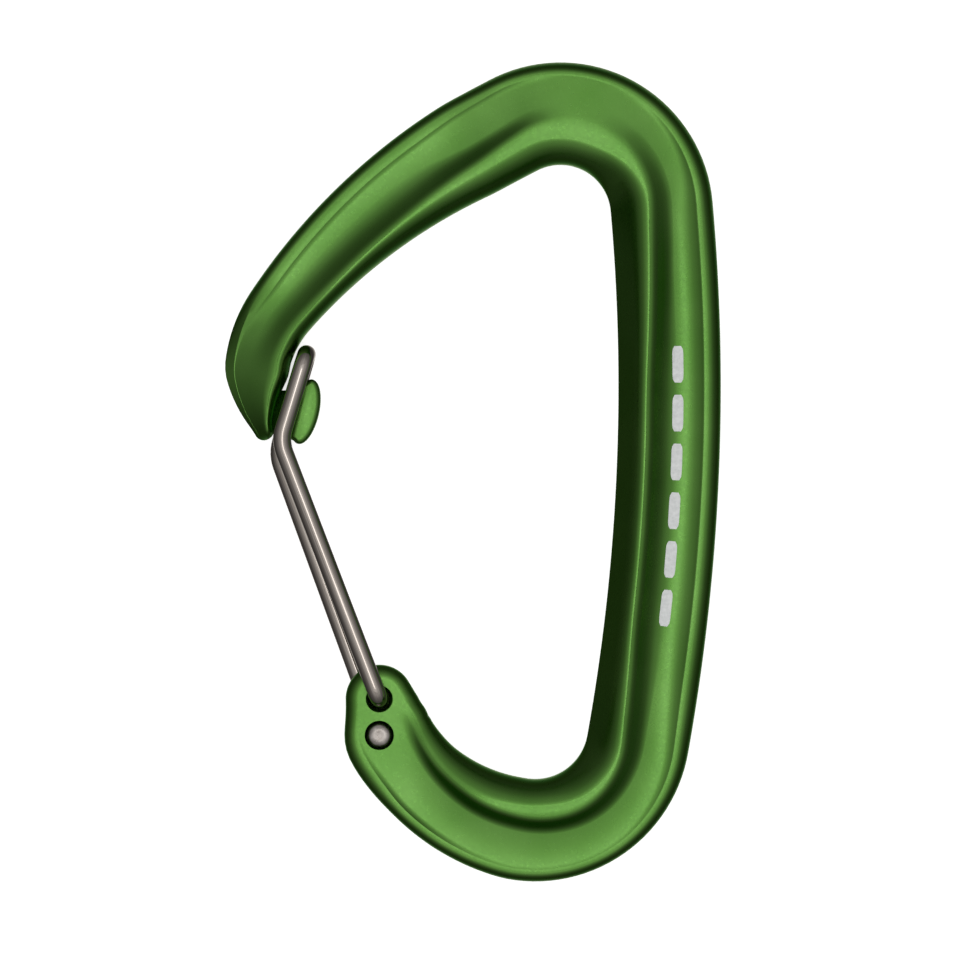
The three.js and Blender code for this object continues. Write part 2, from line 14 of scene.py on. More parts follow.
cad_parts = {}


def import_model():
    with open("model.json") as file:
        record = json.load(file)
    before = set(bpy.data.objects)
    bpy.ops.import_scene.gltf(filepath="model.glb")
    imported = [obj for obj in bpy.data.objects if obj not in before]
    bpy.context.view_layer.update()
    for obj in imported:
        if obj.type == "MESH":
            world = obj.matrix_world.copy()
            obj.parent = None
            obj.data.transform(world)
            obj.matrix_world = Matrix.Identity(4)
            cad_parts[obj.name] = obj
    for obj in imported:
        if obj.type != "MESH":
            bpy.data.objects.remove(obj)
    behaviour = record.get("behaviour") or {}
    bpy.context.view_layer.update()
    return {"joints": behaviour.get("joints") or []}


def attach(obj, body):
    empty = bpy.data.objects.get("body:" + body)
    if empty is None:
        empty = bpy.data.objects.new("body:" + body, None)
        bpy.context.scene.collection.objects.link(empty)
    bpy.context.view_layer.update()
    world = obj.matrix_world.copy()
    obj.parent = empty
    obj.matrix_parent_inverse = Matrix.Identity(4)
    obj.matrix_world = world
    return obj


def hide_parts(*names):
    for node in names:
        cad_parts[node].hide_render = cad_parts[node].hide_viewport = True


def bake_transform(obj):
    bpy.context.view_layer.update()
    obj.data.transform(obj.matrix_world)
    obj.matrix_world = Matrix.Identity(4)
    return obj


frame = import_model()

MM = 0.001
HINGE = next(joint for joint in frame["joints"] if joint["name"] == "gate_hinge")
FRONT_PIVOT = Vector(HINGE["pos_m"]) / MM

# ---- Body: centreline stretches, from the ear to the nose ----------------------------------------
EAR_HEADING = -87
EAR_RADIUS, EAR_TURN = 12, 33.2
HEEL_RADIUS, HEEL_TURN = 22.9, 40.9
SLING_END_RADIUS, SLING_END_TURN = 12.3, 92.7
SPINE_LENGTH, SPINE_TURN = 63.9, 15.3
ROPE_END_RADIUS, ROPE_END_TURN = 12, 112.4
SHOULDER_LENGTH, SHOULDER_TURN = 6, 1
ARM_LENGTH, ARM_TURN = 29.3, 24
NOSE_RADIUS, NOSE_TURN = 15, 58.3

# ---- Body: widths, and heights above the middle plane --------------------------------------------
EAR_WIDTH, EAR_FLARE_LENGTH, HEEL_WIDTH = 8, 4, 10.7
BAR_WIDTH, ARM_END_WIDTH, NOSE_WIDTH, TIP_WIDTH = 12.1, 8.3, 7.5, 2.0
NOSE_WIDTH_SHARE = 0.55       # the share of the nose's length at which it has its width
RAIL_HEIGHT, RIM_HEIGHT, SADDLE_RIM_HEIGHT = 5, 3.1, 4.7
SPINE_FLOOR_DROP, HEEL_FLOOR_DROP, ARM_FLOOR_DROP, SLING_FLOOR_DROP = 0.6, 0.3, 0.12, 0.05
EAR_HEIGHT, TIP_HEIGHT, EDGE_FLAT = 2.4, 3, 1.2
EAR_TANGENT = 28              # where the ear's round end runs out into the heel
HEEL_FLARES = (1.17, 1.14, 1.07)    # how far the inner half is widened, millimetre by millimetre
NECK_FLARE = 1.08             # and how far beside the nose head
NECK_FLARE_START, NECK_FLARE_END = 9, 4     # before the end of the nose

# ---- Body: distances across the bar --------------------------------------------------------------
EAR_RAIL, HEEL_RAIL, SLING_RAIL, SPINE_RAIL, ROPE_RAIL = 2.0, 4.45, 5.1, 3.75, 5.6
SHOULDER_RAIL, ARM_RAIL, NECK_RAIL, TIP_RAIL = 5.05, 2.7, 2.0, 0.6
THIN_CREST, BROAD_CREST, SADDLE_CREST = 0.6, 1.65, 2.4
EAR_WALL, TIGHT_WALL, WIDE_WALL = 0.7, 1.05, 1.8
TIGHT_FOOT, WIDE_FOOT = 0.6, 1.6
SPINE_SLOPE, OTHER_SLOPE = 1.0, 0.35
THIN_RIM, ARM_RIM, NOSE_RIM = 0.45, 0.95, 0.05
SLING_ROUND, SPINE_ROUND, ROPE_ROUND, ARM_ROUND = 1.0, 1.55, 1.3, 1.1
RAIL_SHARE = 0.45             # the most of the width that the rail takes
WALL_SHARE = 0.8              # and the most of the rest that the wall takes
CREST_EASE = 0.5
FLANK_STRAIGHT = 0.6          # the share of the spine's inner flank that runs straight
PART_LINE_WIDTH, PART_LINE_DEPTH = 0.26, 0.02

# ---- Body: shares of its own run that an eased corner takes on each side -------------------------
CREST_BACK, WALL_TOP = 0.9, 0.3
WALL_FOOT, FLOOR_START = 0.7, 0.45
FLOOR_END, SLOPE_FOOT = 0.5, 0.85
RIM_TOP = 0.3
SLOPE_EASE = 1.1              # how far the slope's foot eases into the floor, in slope runs

# ---- Body: where the recess starts and stops -----------------------------------------------------
EAR_FLAT_LENGTH, EAR_RISE_LENGTH, NOSE_FADE_LENGTH = 4, 14, 7
SADDLE_PAST_MIDDLE, SADDLE_LENGTH = 3.9, 6.4
SADDLE_RAMPS = (6.5, 3.6)     # into the saddle from the spine, and out of it to the arm

# ---- Nose head -----------------------------------------------------------------------------------
HEAD_LENGTH, HEAD_WIDTH, HEAD_TILT = 7.8, 3.2, 13
HEAD_ACROSS, HEAD_UP, HEAD_ROUND = 4.93, 2.29, 0.55
NOTCH_DEPTH, NOTCH_WIDTH = 1, 2.4
NECK_OVERLAP = (0.4, 0.9)
NECK_LINE, NECK_FALL = 1.0, 0.33    # this far left of its middle the faces start to fall away
THINNEST_NECK = 0.1           # the least share of the head's thickness that is left
HEAD_ARC_START, HEAD_ARC_END = -110, 120    # the part of the oval that the head's edge follows

# ---- Gate wire and pivots ------------------------------------------------------------------------
WIRE_RADIUS = 2.15 / 2
HEAD_CLEARANCE, EAR_CLEARANCE = 0.35, 0.25
LOOP_RADIUS, PIVOT_BEND_RADIUS, KNEE_RADIUS = 1.9, 1.35, 4.5
LOOP_ABOVE_HEAD, LOOP_ACROSS = 6.8, 0.15
FRONT_KNEE, BACK_KNEE = (2.95, 3.4), (3.4, 5)
PIVOT_SPACING = 4.3
BORE_RADIUS, ENTRY_RADIUS, ENTRY_DEPTH = 1.375, 1.6, 1.1
PEEN_RADIUS, PEEN_HEIGHT, PEEN_BELOW_FACE = 1.45, 0.9, 0.05
PEEN_CLEARANCE, PEEN_SEAT_GAP = 0.28, 0.3
PIN_SHOULDER = 0.3            # where the pin starts to widen, before the peened head's base
HOLE_FLOOR_FALL = 0.3         # the floors round the bores fall away inwards
CUT_BEYOND = 1                # how far a cutting shape reaches past the face
# The peened head's outline, as the share of its radius and the depth under its base.
PEEN_PROFILE = [
    (0.9, 0), (0.97, 0.08), (1, 0.25), (0.985, 0.45), (0.93, 0.62), (0.82, 0.76), (0.66, 0.86),
    (0.5, PEEN_HEIGHT), (0.34, 0.89), (0.18, 0.88), (0, 0.875),
]

# ---- Spine marks: six plain printed dashes -------------------------------------------------------
DASH_COUNT, DASH_LENGTH, DASH_WIDTH = 6, 4.3, 1.3
DASHES_START, DASHES_END, DASH_ACROSS = 57.5, 90.5, 7.0
INK_ABOVE, INK_BELOW = 0.03, 0.05
DASH_CELLS, DASH_TAPER, DASH_ROUNDNESS = (12, 5), 0.4, 8     # the ends narrow a little


# ---- Centreline ----------------------------------------------------------------------------------
def bend(radius, turn):
    """A tight arc, by its radius and its turn."""
    return {"length": radius * math.radians(turn), "turn": math.radians(turn)}


def sweep(length, turn):
    """A long arc, by its length and its turn."""
    return {"length": length, "turn": math.radians(turn)}


STRETCHES = {
    "ear": bend(EAR_RADIUS, EAR_TURN),
    "heel": bend(HEEL_RADIUS, HEEL_TURN),
    "sling_end": bend(SLING_END_RADIUS, SLING_END_TURN),
    "spine": sweep(SPINE_LENGTH, SPINE_TURN),
    "rope_end": bend(ROPE_END_RADIUS, ROPE_END_TURN),
    "shoulder": sweep(SHOULDER_LENGTH, SHOULDER_TURN),
    "arm": sweep(ARM_LENGTH, ARM_TURN),
    "nose": bend(NOSE_RADIUS, NOSE_TURN),
}


def lay_centreline():
    """Gives each stretch its start, its end, its heading and its first point."""
    distance, heading = 0.0, math.radians(EAR_HEADING)
    x, y = FRONT_PIVOT.x, FRONT_PIVOT.y
    for stretch in STRETCHES.values():
        stretch.update(start=distance, heading=heading, x=x, y=y)
        radius = stretch["length"] / stretch["turn"]
        x += radius * (math.sin(heading + stretch["turn"]) - math.sin(heading))
        y -= radius * (math.cos(heading + stretch["turn"]) - math.cos(heading))
        heading += stretch["turn"]
        distance += stretch["length"]
        stretch["end"] = distance
    return distance


CENTRELINE_LENGTH = lay_centreline()
EAR, HEEL, SLING_END, SPINE, ROPE_END, _, ARM, NOSE = STRETCHES.values()


def centre_at(distance):
    """Point on the centreline, and the heading there."""
    ends = [stretch["end"] for stretch in STRETCHES.values()]
    found = min(bisect.bisect_left(ends, distance), len(ends) - 1)
    stretch = list(STRETCHES.values())[found]
    radius = stretch["length"] / stretch["turn"]
    start = stretch["heading"]
    heading = start + stretch["turn"] * (distance - stretch["start"]) / stretch["length"]
    x = stretch["x"] + radius * (math.sin(heading) - math.sin(start))
    y = stretch["y"] - radius * (math.cos(heading) - math.cos(start))
    return Vector((x, y, FRONT_PIVOT.z)), heading


def world(point):
    return Vector(point) * MM


def mix(a, b, share):
    return a + (b - a) * share


# ---- Profiles along the body ---------------------------------------------------------------------
SAMPLE_COUNT = 9              # samples in each eased value
LONG_EASE, EASE, SHORT_EASE, EAR_EASE, FLARE_EASE = 3, 2, 1, 0.5, 0.2


def along(stops, ease=EASE):
    """A value that runs straight between (distance, value) stops, its corners eased."""
    def straight(distance):
        if distance <= stops[0][0]:
            return stops[0][1]
        for (a, low), (b, high) in zip(stops, stops[1:]):
            if distance <= b:
                return mix(low, high, (distance - a) / (b - a))
        return stops[-1][1]

    half = SAMPLE_COUNT // 2
    offsets = [ease * k / half for k in range(-half, half + 1)]
    return lambda distance: sum(straight(distance + by) for by in offsets) / SAMPLE_COUNT


ROPE_END_MIDDLE = (ROPE_END["start"] + ROPE_END["end"]) / 2
SPINE_MIDDLE = (SPINE["start"] + SPINE["end"]) / 2
SLING_END_MIDDLE = (SLING_END["start"] + SLING_END["end"]) / 2
SADDLE_START = ROPE_END_MIDDLE + SADDLE_PAST_MIDDLE - SADDLE_LENGTH / 2
SADDLE_END = SADDLE_START + SADDLE_LENGTH

width_at = along([
    (1, EAR_WIDTH), (EAR_FLARE_LENGTH, HEEL_WIDTH), (EAR["end"] + 4, HEEL_WIDTH),
    (SLING_END["start"], BAR_WIDTH), (ARM["start"], BAR_WIDTH), (ARM["end"], ARM_END_WIDTH),
    (NOSE["start"] + NOSE["length"] * NOSE_WIDTH_SHARE, NOSE_WIDTH), (NOSE["end"], TIP_WIDTH),
], SHORT_EASE)
rail_at = along([
    (EAR_FLAT_LENGTH, EAR_RAIL), (HEEL["end"] - 3, HEEL_RAIL), (SLING_END_MIDDLE, SLING_RAIL),
    (SPINE["start"] + 14, SPINE_RAIL), (SPINE_MIDDLE + 11, SPINE_RAIL),
    (ROPE_END_MIDDLE, ROPE_RAIL), (ROPE_END["end"] - 1, SHOULDER_RAIL),
    (ARM["start"] + 12, ARM_RAIL), (ARM["end"] - 6, NECK_RAIL), (NOSE["start"] + 9, NECK_RAIL),
    (NOSE["end"], TIP_RAIL),
], LONG_EASE)
crest_band_at = along([
    (HEEL["end"] - 6, THIN_CREST), (SLING_END["start"] + 4, BROAD_CREST),
    (SLING_END["end"] - 3, THIN_CREST), (SPINE["end"] + 3, THIN_CREST),
    (ROPE_END_MIDDLE, SADDLE_CREST), (ROPE_END["end"], BROAD_CREST),
    (ARM["start"] + 12, THIN_CREST),
], LONG_EASE)
flank_at = along([
    (SLING_END["start"] + 7, 0), (SLING_END["end"], 1), (SPINE["end"] + 3, 1),
    (ROPE_END_MIDDLE, 0),
], LONG_EASE)
wall_run_at = along([
    (EAR["end"] + 1, EAR_WALL), (HEEL["start"] + 8, TIGHT_WALL), (SLING_END_MIDDLE - 5, TIGHT_WALL),
    (SPINE["start"] + 2, WIDE_WALL), (SPINE["end"], WIDE_WALL), (ROPE_END["end"] - 2, TIGHT_WALL),
    (ARM["start"] + 8, WIDE_WALL),
], LONG_EASE)
foot_at = along([
    (SPINE["start"] + 2, TIGHT_FOOT), (SPINE["start"] + 14, WIDE_FOOT),
    (SPINE_MIDDLE + 9, WIDE_FOOT), (SPINE["end"] - 9, TIGHT_FOOT), (ARM["start"], TIGHT_FOOT),
    (ARM["start"] + 8, WIDE_FOOT),
], LONG_EASE)
slope_run_at = along([
    (SLING_END["end"] - 8, OTHER_SLOPE), (SPINE["start"] + 12, SPINE_SLOPE),
    (SPINE["end"], SPINE_SLOPE), (ROPE_END["start"] + 6, OTHER_SLOPE),
], LONG_EASE)
floor_drop_at = along([
    (EAR_FLAT_LENGTH, 0), (HEEL["start"] + 5, HEEL_FLOOR_DROP), (HEEL["end"] - 3, SLING_FLOOR_DROP),
    (SLING_END["end"] - 8, SLING_FLOOR_DROP), (SPINE["start"] + 12, SPINE_FLOOR_DROP),
    (SPINE["end"], SPINE_FLOOR_DROP), (ROPE_END["start"] + 6, ARM_FLOOR_DROP),
], LONG_EASE)
rim_band_at = along([
    (ROPE_END["end"], THIN_RIM), (ARM["start"] + 4, ARM_RIM), (NOSE["start"], ARM_RIM),
    (NOSE["start"] + NOSE_FADE_LENGTH, NOSE_RIM),
])
outer_round_at = along([
    (SLING_END_MIDDLE, SLING_ROUND), (SPINE["start"] + 6, SPINE_ROUND), (SPINE["end"], SPINE_ROUND),
    (ROPE_END_MIDDLE, ROPE_ROUND), (ARM["start"] + 10, ARM_ROUND),
])
rail_height_at = along([
    (EAR_FLAT_LENGTH, EAR_HEIGHT), (EAR_FLAT_LENGTH + EAR_RISE_LENGTH, RAIL_HEIGHT),
    (ARM["end"] - NOSE_FADE_LENGTH, RAIL_HEIGHT), (NOSE["end"], TIP_HEIGHT),
], LONG_EASE)
rim_height_at = along([
    (EAR_FLAT_LENGTH, EAR_HEIGHT), (SLING_END["start"], RIM_HEIGHT), (SPINE["end"] - 8, RIM_HEIGHT),
    (SADDLE_START, SADDLE_RIM_HEIGHT), (SADDLE_END, SADDLE_RIM_HEIGHT),
    (ARM["start"] + 2, RIM_HEIGHT), (NOSE["start"], RIM_HEIGHT),
    (NOSE["start"] + NOSE_FADE_LENGTH, EDGE_FLAT),
], LONG_EASE)
flare_at = along([
    (0, 1 / math.cos(math.radians(EAR_TANGENT))), *enumerate(HEEL_FLARES, 1),
    (EAR_FLARE_LENGTH, 1), (NOSE["end"] - NECK_FLARE_START, 1),
    (NOSE["end"] - NECK_FLARE_END, NECK_FLARE),
], FLARE_EASE)
outer_share_at = along([(1, 0), (HEEL["start"] + 4, 1)], SHORT_EASE)
own_share_at = along([(EAR_EASE, 0), (EAR_FLAT_LENGTH / 2 - EAR_EASE, 1)], EAR_EASE)
bevel_at = along([(NOSE["start"], 0), (NOSE["start"] + NOSE_FADE_LENGTH, 1)])
recess_at = along([
    (SADDLE_START - SADDLE_RAMPS[0], 1), (SADDLE_START, 0), (SADDLE_END, 0),
    (SADDLE_END + SADDLE_RAMPS[1], 1), (NOSE["start"], 1), (NOSE["start"] + NOSE_FADE_LENGTH, 0),
])
part_line_at = along([
    (HEEL["start"], 0), (HEEL["end"], 1), (SLING_END["end"] - 6, 1), (SLING_END["end"], 0),
    (ROPE_END["start"], 0), (ROPE_END["start"] + 6, 1), (ROPE_END["end"], 1), (ARM["start"], 0),
])

ROUND_STEPS = 9               # facets round the inner roll, and round the outer edge
EASE_STEPS = 4                # facets in each eased corner


def eased(before, corner, after, back, ahead):
    """The points of a corner that is cut back by these lengths and bent along a parabola."""
    before, corner, after = Vector(before), Vector(corner), Vector(after)
    a, b = mix(corner, before, back), mix(corner, after, ahead)
    shares = [k / EASE_STEPS for k in range(EASE_STEPS + 1)]
    return [mix(mix(a, corner, t), mix(corner, b, t), t) for t in shares]


def flank_height(share, straightness):
    """Rise across the inner roll, as shares: a quarter ellipse, or a flank eased at its top."""
    steepness = 2 / (1 + FLANK_STRAIGHT)
    bend_share = max(0, share - FLANK_STRAIGHT)
    flank = steepness * (share - bend_share ** 2 / (2 * (1 - FLANK_STRAIGHT)))
    return mix(math.sqrt(1 - (1 - share) ** 2), flank, straightness)


def section_at(distance):
    """Upper half of the cross-section, as (distance from the inner edge, height) points."""
    width = width_at(distance)
    scale = min(1, width / NOSE_WIDTH)
    rail = min(rail_at(distance), width * RAIL_SHARE)
    roll = rail - crest_band_at(distance) * scale
    rail_height, rim_height = rail_height_at(distance), rim_height_at(distance)
    edge = EDGE_FLAT / 2
    rim_end = width - mix(roll, outer_round_at(distance) * scale, outer_share_at(distance))
    rim_start = rim_end - rim_band_at(distance) * scale
    floor_end = rim_start - slope_run_at(distance) * scale
    floor_start = min(rail + wall_run_at(distance) * scale, mix(rail, floor_end, WALL_SHARE))
    floor_level = rim_height - floor_drop_at(distance)

    def floor_height(across):
        bridge = mix(rail_height, rim_height, (across - rail) / (rim_start - rail))
        return mix(bridge, min(floor_level, bridge), recess_at(distance))

    turns = [math.pi / 2 * k / ROUND_STEPS for k in range(ROUND_STEPS + 1)]
    points = []
    for a in turns[:-1]:
        share = 1 - math.cos(a)
        rise = flank_height(share, flank_at(distance))
        points.append(Vector((roll * share, mix(edge, rail_height, rise))))
    groove = PART_LINE_DEPTH * part_line_at(distance)
    half = PART_LINE_WIDTH / 2 * scale
    top = Vector((roll, rail_height))
    points += [top - Vector((half, 0)), top - Vector((0, groove)), top + Vector((half, 0))]
    chain = [
        (roll, rail_height), (rail, rail_height), (floor_start, floor_height(floor_start)),
        (floor_end, floor_height(floor_end)), (rim_start, rim_height), (rim_end, rim_height),
    ]
    runs = [b[0] - a[0] for a, b in zip(chain, chain[1:])]
    crest_run, _, floor_run, slope_run, _ = runs
    cuts = [
        (min(CREST_BACK, CREST_EASE / crest_run), WALL_TOP),
        (WALL_FOOT, min(FLOOR_START, foot_at(distance) / floor_run)),
        (min(FLOOR_END, slope_run * SLOPE_EASE / floor_run), SLOPE_FOOT),
        (0, RIM_TOP),
    ]
    for number, (back, ahead) in enumerate(cuts):
        points += eased(*chain[number:number + 3], back, ahead)
    for a in turns:
        rise = mix(math.cos(a), 1 - math.sin(a), bevel_at(distance))
        points.append(Vector((mix(rim_end, width, math.sin(a)), mix(edge, rim_height, rise))))
    # The ear's face is flat, and evenly spaced points let its round end close on itself.
    last = len(points) - len(turns)
    for number in range(ROUND_STEPS, last):
        even = mix(roll, rim_end, (number - ROUND_STEPS) / (last - ROUND_STEPS))
        points[number].x = mix(even, points[number].x, own_share_at(distance))
    return points


# ---- Mesh tools ----------------------------------------------------------------------------------
WELD = 1e-7                   # metres
BODY_CREASE, CREASE = 32, 40        # steeper edges are left sharp


def rolled_skin(stations, sides, point_at, measure):
    """A grid rolled into a closed skin: point_at(i, j) places a vertex, in millimetres. Its UV map
    gives metres along, by measure(i), and the share of the way round."""
    bm = bmesh.new()
    bmesh.ops.create_grid(bm, x_segments=stations - 1, y_segments=sides, size=1)
    uv = bm.loops.layers.uv.new("along")
    for number, vert in enumerate(bm.verts):
        i, j = number % stations, number // stations
        vert.co = world(point_at(i, j % sides))
        for loop in vert.link_loops:
            loop[uv].uv = (measure(i) * MM, j / sides)
    bmesh.ops.remove_doubles(bm, verts=bm.verts, dist=WELD)
    bmesh.ops.dissolve_degenerate(bm, edges=bm.edges, dist=WELD)
    bmesh.ops.recalc_face_normals(bm, faces=bm.faces)
    return bm


def turned(profile, centre, steps=64):
    """A shape spun about the upright line through centre, from (radius, height) points."""
    bm = bmesh.new()
    verts = [bm.verts.new(world(Vector((centre.x + r, centre.y, z)))) for r, z in profile]
    edges = [bm.edges.new(pair) for pair in zip(verts, verts[1:])]
    bmesh.ops.spin(
        bm, geom=verts + edges, cent=world(Vector((centre.x, centre.y, 0))), axis=(0, 0, 1),
        angle=math.tau, steps=steps, use_merge=True, use_duplicate=False)
    bmesh.ops.remove_doubles(bm, verts=bm.verts, dist=WELD)
    bmesh.ops.dissolve_degenerate(bm, edges=bm.edges, dist=WELD)
    bmesh.ops.recalc_face_normals(bm, faces=bm.faces)
    return bm


def to_object(name, bm):
    mesh = bpy.data.meshes.new(name)
    bm.to_mesh(mesh)
    bm.free()
    piece = bpy.data.objects.new(name, mesh)
    bpy.context.scene.collection.objects.link(piece)
    return piece


def combine(piece, other, operation):
    """Joins another shape to the piece or cuts it out, and removes the other."""
    change = piece.modifiers.new(operation.lower(), "BOOLEAN")
    change.object, change.operation, change.solver = other, operation, "EXACT"
    shape = piece.evaluated_get(bpy.context.evaluated_depsgraph_get())
    result = bpy.data.meshes.new_from_object(shape)
    piece.modifiers.clear()
    piece.data = result
    bpy.data.objects.remove(other)


def finish_piece(piece, material, crease=CREASE):
    """Smooth shading up to the crease angle, and one material."""
    piece.data.shade_smooth()
    piece.data.set_sharp_from_angle(angle=math.radians(crease))
    piece.data.materials.clear()
    piece.data.materials.append(material)
    return piece


# ---- Body ----------------------------------------------------------------------------------------
END_STEPS = 16                # rings round the ear's end
TIP_STEPS = 6                 # rings over the nose tip
STATION_STEP = 0.7
HEAD_STEP = 5                 # degrees between points of the nose head's oval
NOTCH_STEPS, RIM_STEPS = 6, 5       # facets round the head's notch, and over its rim
TIP, _ = centre_at(CENTRELINE_LENGTH)
HEAD = TIP + Vector((HEAD_ACROSS, HEAD_UP, 0))
LEG_HEIGHT = EAR_HEIGHT + EAR_CLEARANCE + WIRE_RADIUS
HEAD_THICKNESS = 2 * (LEG_HEIGHT - WIRE_RADIUS - HEAD_CLEARANCE)
BACK_PIVOT = FRONT_PIVOT - Vector((0, PIVOT_SPACING, 0))
PEEN_TOP = EAR_HEIGHT - PEEN_BELOW_FACE
PEEN_BASE = PEEN_TOP - PEEN_HEIGHT


def body_stations():
    """(kind, value) of each ring: turns round the ear's end, distances, turns over the tip."""
    quarter = math.pi / 2
    ear = [("ear", quarter * (1 - k / END_STEPS)) for k in range(END_STEPS)]
    count = round(CENTRELINE_LENGTH / STATION_STEP)
    bar = [("bar", CENTRELINE_LENGTH * k / count) for k in range(count + 1)]
    tip = [("tip", quarter * k / TIP_STEPS) for k in range(1, TIP_STEPS + 1)]
    return ear + bar + tip


def ear_reach(turn):
    """How many radii the ear's end reaches out, where the heel's edge runs off at a tangent."""
    return 1 / math.cos(max(0, math.radians(EAR_TANGENT) - turn))


def body_bar():
    """The whole bar, from the ear's round end over the nose's tip, as one closed skin."""
    stations = body_stations()
    sections = {}

    def ring(kind, value):
        distance = {"ear": 0, "bar": value, "tip": CENTRELINE_LENGTH}[kind]
        if distance not in sections:
            upper = section_at(distance)
            sections[distance] = upper + [Vector((p.x, -p.y)) for p in reversed(upper)]
        centre, heading = centre_at(distance)
        inward = Vector((-math.sin(heading), math.cos(heading), 0))
        onward = Vector((math.cos(heading), math.sin(heading), 0))
        half, up = width_at(distance) / 2, Vector((0, 0, 1))
        points = []
        flare = ear_reach(value) if kind == "ear" else flare_at(distance)
        for across, height in sections[distance]:
            off, ahead, rise = half - across, 0, height
            if off > 0:
                off *= flare
            if kind == "ear":
                off, ahead = off * math.cos(value), -abs(off) * math.sin(value)
            if kind == "tip":
                off, rise = off * math.cos(value), rise * math.cos(value)
                ahead = half * math.sin(value)
            points.append(centre + inward * off + onward * ahead + up * rise)
        return points

    rings = [ring(kind, value) for kind, value in stations]
    skin = rolled_skin(
        len(rings), len(rings[0]), lambda i, j: rings[i][j], lambda i: STATION_STEP * i)
    return to_object("carabiner_body_shell", skin)


def nose_head():
    """The plate that the gate closes round: a neck out of the nose and a rounded oval head."""
    tilt = Matrix.Rotation(math.radians(-HEAD_TILT), 3, "Z")
    outline = []
    for degrees in range(HEAD_ARC_START, HEAD_ARC_END + 1, HEAD_STEP):
        a = math.radians(degrees)
        oval = Vector((math.cos(a) * HEAD_WIDTH / 2, math.sin(a) * HEAD_LENGTH / 2, 0))
        outline.append(HEAD + tilt @ oval)
    neck_top = HEAD + Vector((-NOTCH_WIDTH, HEAD_LENGTH / 2 - NOTCH_DEPTH, 0))
    notch_end = neck_top - Vector((NOTCH_WIDTH / 2, 0, 0))
    notch = [outline[-1], neck_top - Vector((0, NOTCH_DEPTH, 0)), notch_end]
    shares = [k / NOTCH_STEPS for k in range(1, NOTCH_STEPS + 1)]
    outline += [mix(mix(notch[0], notch[1], t), mix(notch[1], notch[2], t), t) for t in shares]
    back, up = NECK_OVERLAP
    outline += [Vector((TIP.x - back, neck_top.y + back, TIP.z)), TIP + Vector((-back, up, 0))]
    bm = bmesh.new()
    drop = Vector((0, 0, HEAD_THICKNESS / 2))
    face = bm.faces.new([bm.verts.new(world(p - drop)) for p in outline])
    grown = bmesh.ops.extrude_face_region(bm, geom=[face])
    verts = [item for item in grown["geom"] if isinstance(item, bmesh.types.BMVert)]
    bmesh.ops.translate(bm, verts=verts, vec=world(2 * drop))
    bmesh.ops.recalc_face_normals(bm, faces=bm.faces)
    rims = [edge for edge in bm.edges if abs(edge.verts[0].co.z - edge.verts[1].co.z) < WELD]
    bmesh.ops.bevel(
        bm, geom=rims, offset=HEAD_ROUND * MM, affect="EDGES", segments=RIM_STEPS, profile=0.5,
        material=-1, clamp_overlap=True)
    # Towards the nose both faces fall away.
    slant = tilt @ Vector((1, 0, 0))
    line = HEAD - slant * NECK_LINE
    everything = bm.verts[:] + bm.edges[:] + bm.faces[:]
    bmesh.ops.bisect_plane(bm, geom=everything, plane_co=world(line), plane_no=slant)
    for vert in bm.verts:
        beyond = (world(line) - vert.co).dot(slant) / MM
        share = max(THINNEST_NECK, 1 - NECK_FALL * max(0, beyond))
        vert.co.z = world(TIP).z + (vert.co.z - world(TIP).z) * share
    return to_object("nose_head", bm)


def pivot_hole(pivot, side):
    """A stepped hole through the ear: the wire goes in on the side given, 1 front and -1 back."""
    recess = PEEN_RADIUS + PEEN_CLEARANCE
    entry_floor, seat = EAR_HEIGHT - ENTRY_DEPTH, PEEN_BASE - PEEN_SEAT_GAP
    beyond = EAR_HEIGHT + CUT_BEYOND
    profile = [
        (0, -beyond), (recess, -beyond), (recess, -seat - HOLE_FLOOR_FALL / 2),
        (BORE_RADIUS, -seat + HOLE_FLOOR_FALL / 2), (BORE_RADIUS, entry_floor),
        (ENTRY_RADIUS, entry_floor + HOLE_FLOOR_FALL), (ENTRY_RADIUS, beyond), (0, beyond),
    ]
    return to_object("pivot_hole", turned([(r, pivot.z + side * z) for r, z in profile], pivot))


def carabiner_body(material):
    """The forging: the bar, the nose head and the two holes through the ear."""
    body = body_bar()
    combine(body, nose_head(), "UNION")
    combine(body, pivot_hole(FRONT_PIVOT, 1), "DIFFERENCE")
    combine(body, pivot_hole(BACK_PIVOT, -1), "DIFFERENCE")
    finish_piece(body, material, BODY_CREASE)
    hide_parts("carabiner_body")
    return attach(body, "body")


# ---- Gate ----------------------------------------------------------------------------------------
WIRE_STEP, WIRE_TURN, WIRE_SIDES = 0.5, 6, 24     # millimetres, degrees, facets
PIN_OVERLAP = 0.6             # how far a pin runs up inside the bent wire
PIN_TRIM = 0.02               # and how much thinner than the wire it is there


def rounded_path(corners):
    """Points along straight runs, each corner rounded by its own radius."""
    points = [corners[0][0]]

    def run_to(end):
        start = points[-1]
        count = max(1, round((end - start).length / WIRE_STEP))
        points.extend(mix(start, end, k / count) for k in range(1, count + 1))

    for (before, _), (at, radius), (after, _) in zip(corners, corners[1:], corners[2:]):
        into, out = (at - before).normalized(), (after - at).normalized()
        angle = into.angle(out)
        run_to(at - into * radius * math.tan(angle / 2))
        axis = into.cross(out).normalized()
        centre = points[-1] + axis.cross(into) * radius
        arm = points[-1] - centre
        count = max(2, round(math.degrees(angle) / WIRE_TURN))
        turns = [Quaternion(axis, angle * k / count) for k in range(1, count + 1)]
        points.extend(centre + turn @ arm for turn in turns)
    run_to(corners[-1][0])
    return points


